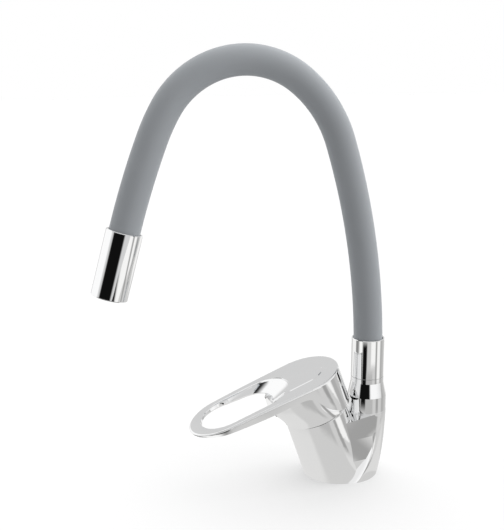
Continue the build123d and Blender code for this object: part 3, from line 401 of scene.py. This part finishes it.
CAMERA_AZIMUTH = radians(72.91)
CAMERA_ELEVATION = radians(12.67)
CAMERA_DISTANCE = 709.47 * MM
CAMERA_AIM = Vector((-19.46 * MM, -63.30 * MM, 164.42 * MM))
SENSOR_WIDTH = 36.0
FOCAL_LENGTH = 950.0 / 530.0  # in heights of the picture

# Cards round the tap: the middle of each and half its width, in degrees off the camera, its low and
# high edge, and the grey level that polished metal shows of it. A card covers those before it.
# Edges of the studio's cards are elevations in degrees, those on the table are distances in mm.
STUDIO = 205                  # grey level where no card stands
STUDIO_CARDS = (
    (-108, 36, -90, 12, 250),     # white paper on the left and behind
    (-131, 20, 8, 58, 250),
    (-23, 35, -90, 13, 16),       # dark opening in front of the tap
    (65, 48, 4, 40, 232),         # wall on the right, with white paper on its foot
    (63, 46, -4, 6, 247),
    (95, 14, -90, -18, 178),
    (122, 14, -90, 6, 182),
    (157, 20, -90, 13, 242),
    (20, 25, 48, 70, 238),        # soft lamp high in front
    (-84, 26, 49, 63, 46),        # gap beside it
)
TABLE = 203
TABLE_CARDS = (
    (-85, 40, 0, 110, 219),       # pale sheets close to the foot
    (75, 35, 0, 110, 217),
    (-116, 23, 125, 900, 241),
    (-85, 11, 125, 900, 135),
    (-56, 8, 125, 900, 248),
    (-26, 14, 152, 350, 14),      # foot of the dark opening
    (-21, 36, 430, 900, 17),
    (8, 20, 125, 250, 181),
    (39, 23, 270, 900, 244),      # white paper on the right
    (56, 6, 135, 900, 158),
    (99, 11, 125, 900, 172),
    (74, 12, 215, 900, 242),
    (118, 11, 125, 900, 187),
    (157, 17, 220, 900, 240),
)
METAL = 0.91                  # share of light that polished metal gives back
CARD_SIDE_SOFTNESS = 5.0      # blur of the cards' sides, in degrees
STUDIO_CARD_SOFTNESS = 4.5    # blur of their low and high edges, in degrees
TABLE_CARD_SOFTNESS = 18.0    # the same on the table, in mm
TABLE_HALF = 6.0
TABLE_WHITE = 0.40            # what the table gives back of the light on it
TABLE_GLOW = 0.47             # and what it shows of its own, so that it comes out white
TABLE_END = 650 * MM          # in reflections the table fades into the studio over this range
TABLE_GONE = 710 * MM
TABLE_TINT = (1.0, 0.995, 0.985)
SOFT_LIGHT = 1.18             # light on matt surfaces: its even part, and its rise along X, Y and Z
SOFT_RISE = (-0.98, 1.0, 0.35)
LEVEL_LIMIT = 1.0001          # a little over 1, so that no direction has a level part of 0


def camera():
    """Camera at the photograph's standpoint."""
    back = Vector((
        sin(CAMERA_AZIMUTH) * cos(CAMERA_ELEVATION),
        -cos(CAMERA_AZIMUTH) * cos(CAMERA_ELEVATION),
        sin(CAMERA_ELEVATION),
    ))
    data = bpy.data.cameras.new("camera")
    data.sensor_width = SENSOR_WIDTH
    data.lens = SENSOR_WIDTH * FOCAL_LENGTH
    data.clip_start = 0.01
    made = bpy.data.objects.new("camera", data)
    made.location = CAMERA_AIM + back * CAMERA_DISTANCE
    made.rotation_mode = "QUATERNION"
    made.rotation_quaternion = (-back).to_track_quat("-Z", "Y")
    bpy.context.scene.collection.objects.link(made)
    bpy.context.scene.camera = made


def light(level):
    """Brightness of a card that polished metal shows at this sRGB grey level."""
    return ((level / 255 + 0.055) / 1.055) ** 2.4 / METAL


def lay_cards(x, y, height, softness, ground, cards):
    """Brightness at a level direction (x, y) and a height, with the cards laid over the ground."""
    brightness = light(ground)
    for middle, half, low, high, level in cards:
        turn = CAMERA_AZIMUTH + radians(middle)
        facing = x * sin(turn) - y * cos(turn)
        across = facing.ease(
            cos(radians(half + CARD_SIDE_SOFTNESS)), cos(radians(half - CARD_SIDE_SOFTNESS))
        )
        above = height.ease(low - softness, low + softness)
        below = height.ease(high + softness, high - softness)
        share = across * above * below
        brightness = brightness * (1 - share) + light(level) * share
    return brightness


def studio():
    """World: white to the camera, the cards to polished metal, soft light to everything else."""
    world = bpy.data.worlds.new("studio")
    bpy.context.scene.world = world
    g = Graph(world)
    x, y, z = g.components(g.color("ShaderNodeTexCoord", output="Generated"))
    level = (LEVEL_LIMIT - z * z) ** 0.5
    elevation = z.arcsine() * (180 / pi)
    cards = lay_cards(x / level, y / level, elevation, STUDIO_CARD_SOFTNESS, STUDIO, STUDIO_CARDS)
    soft = SOFT_LIGHT + sum(part * rise for part, rise in zip((x, y, z), SOFT_RISE))
    camera_ray, glossy_ray = g.ray("Camera"), g.ray("Glossy")
    lit = glossy_ray * cards + (1 - glossy_ray) * soft.at_least(0.0)
    background = g.color(
        "ShaderNodeBackground",
        None,
        {"Color": (1.0, 1.0, 1.0, 1.0), "Strength": camera_ray + (1 - camera_ray) * lit},
    )
    g.node("ShaderNodeOutputWorld", None, {"Surface": background})


def table_white():
    """White paper that takes the tap's shadow. Polished metal sees cards on it instead."""
    material = bpy.data.materials.new("table_white")
    g = Graph(material)
    white = (TABLE_WHITE, TABLE_WHITE, TABLE_WHITE, 1.0)
    paper = g.color("ShaderNodeBsdfDiffuse", None, {"Color": white})
    bright_paper = g.color("ShaderNodeAddShader", None, {0: paper, 1: g.glow(TABLE_GLOW)})
    x, y, _ = g.components(g.place())
    y = y - RISER_Y
    reach = (x * x + y * y) ** 0.5
    cards = lay_cards(x / reach, y / reach, reach / MM, TABLE_CARD_SOFTNESS, TABLE, TABLE_CARDS)
    clear = g.color("ShaderNodeBsdfTransparent")
    mirrored = g.mix(reach.ease(TABLE_END, TABLE_GONE), g.glow(cards, TABLE_TINT), clear)
    seen = g.mix(g.ray("Camera"), paper, bright_paper)
    surface = g.mix(g.ray("Glossy"), seen, mirrored)
    g.node("ShaderNodeOutputMaterial", None, {"Surface": surface})
    return material


def table_top():
    mesh = bpy.data.meshes.new("table_top")
    low, high = -TABLE_HALF, TABLE_HALF
    corners = [(low, low, 0), (high, low, 0), (high, high, 0), (low, high, 0)]
    mesh.from_pydata(corners, [], [(0, 1, 2, 3)])
    mesh.materials.append(table_white())
    table = bpy.data.objects.new("table_top", mesh)
    bpy.context.scene.collection.objects.link(table)


made = dress_nodes()
soft_neck(made)
camera()
studio()
table_top()
bpy.context.scene.view_settings.view_transform = "Standard"
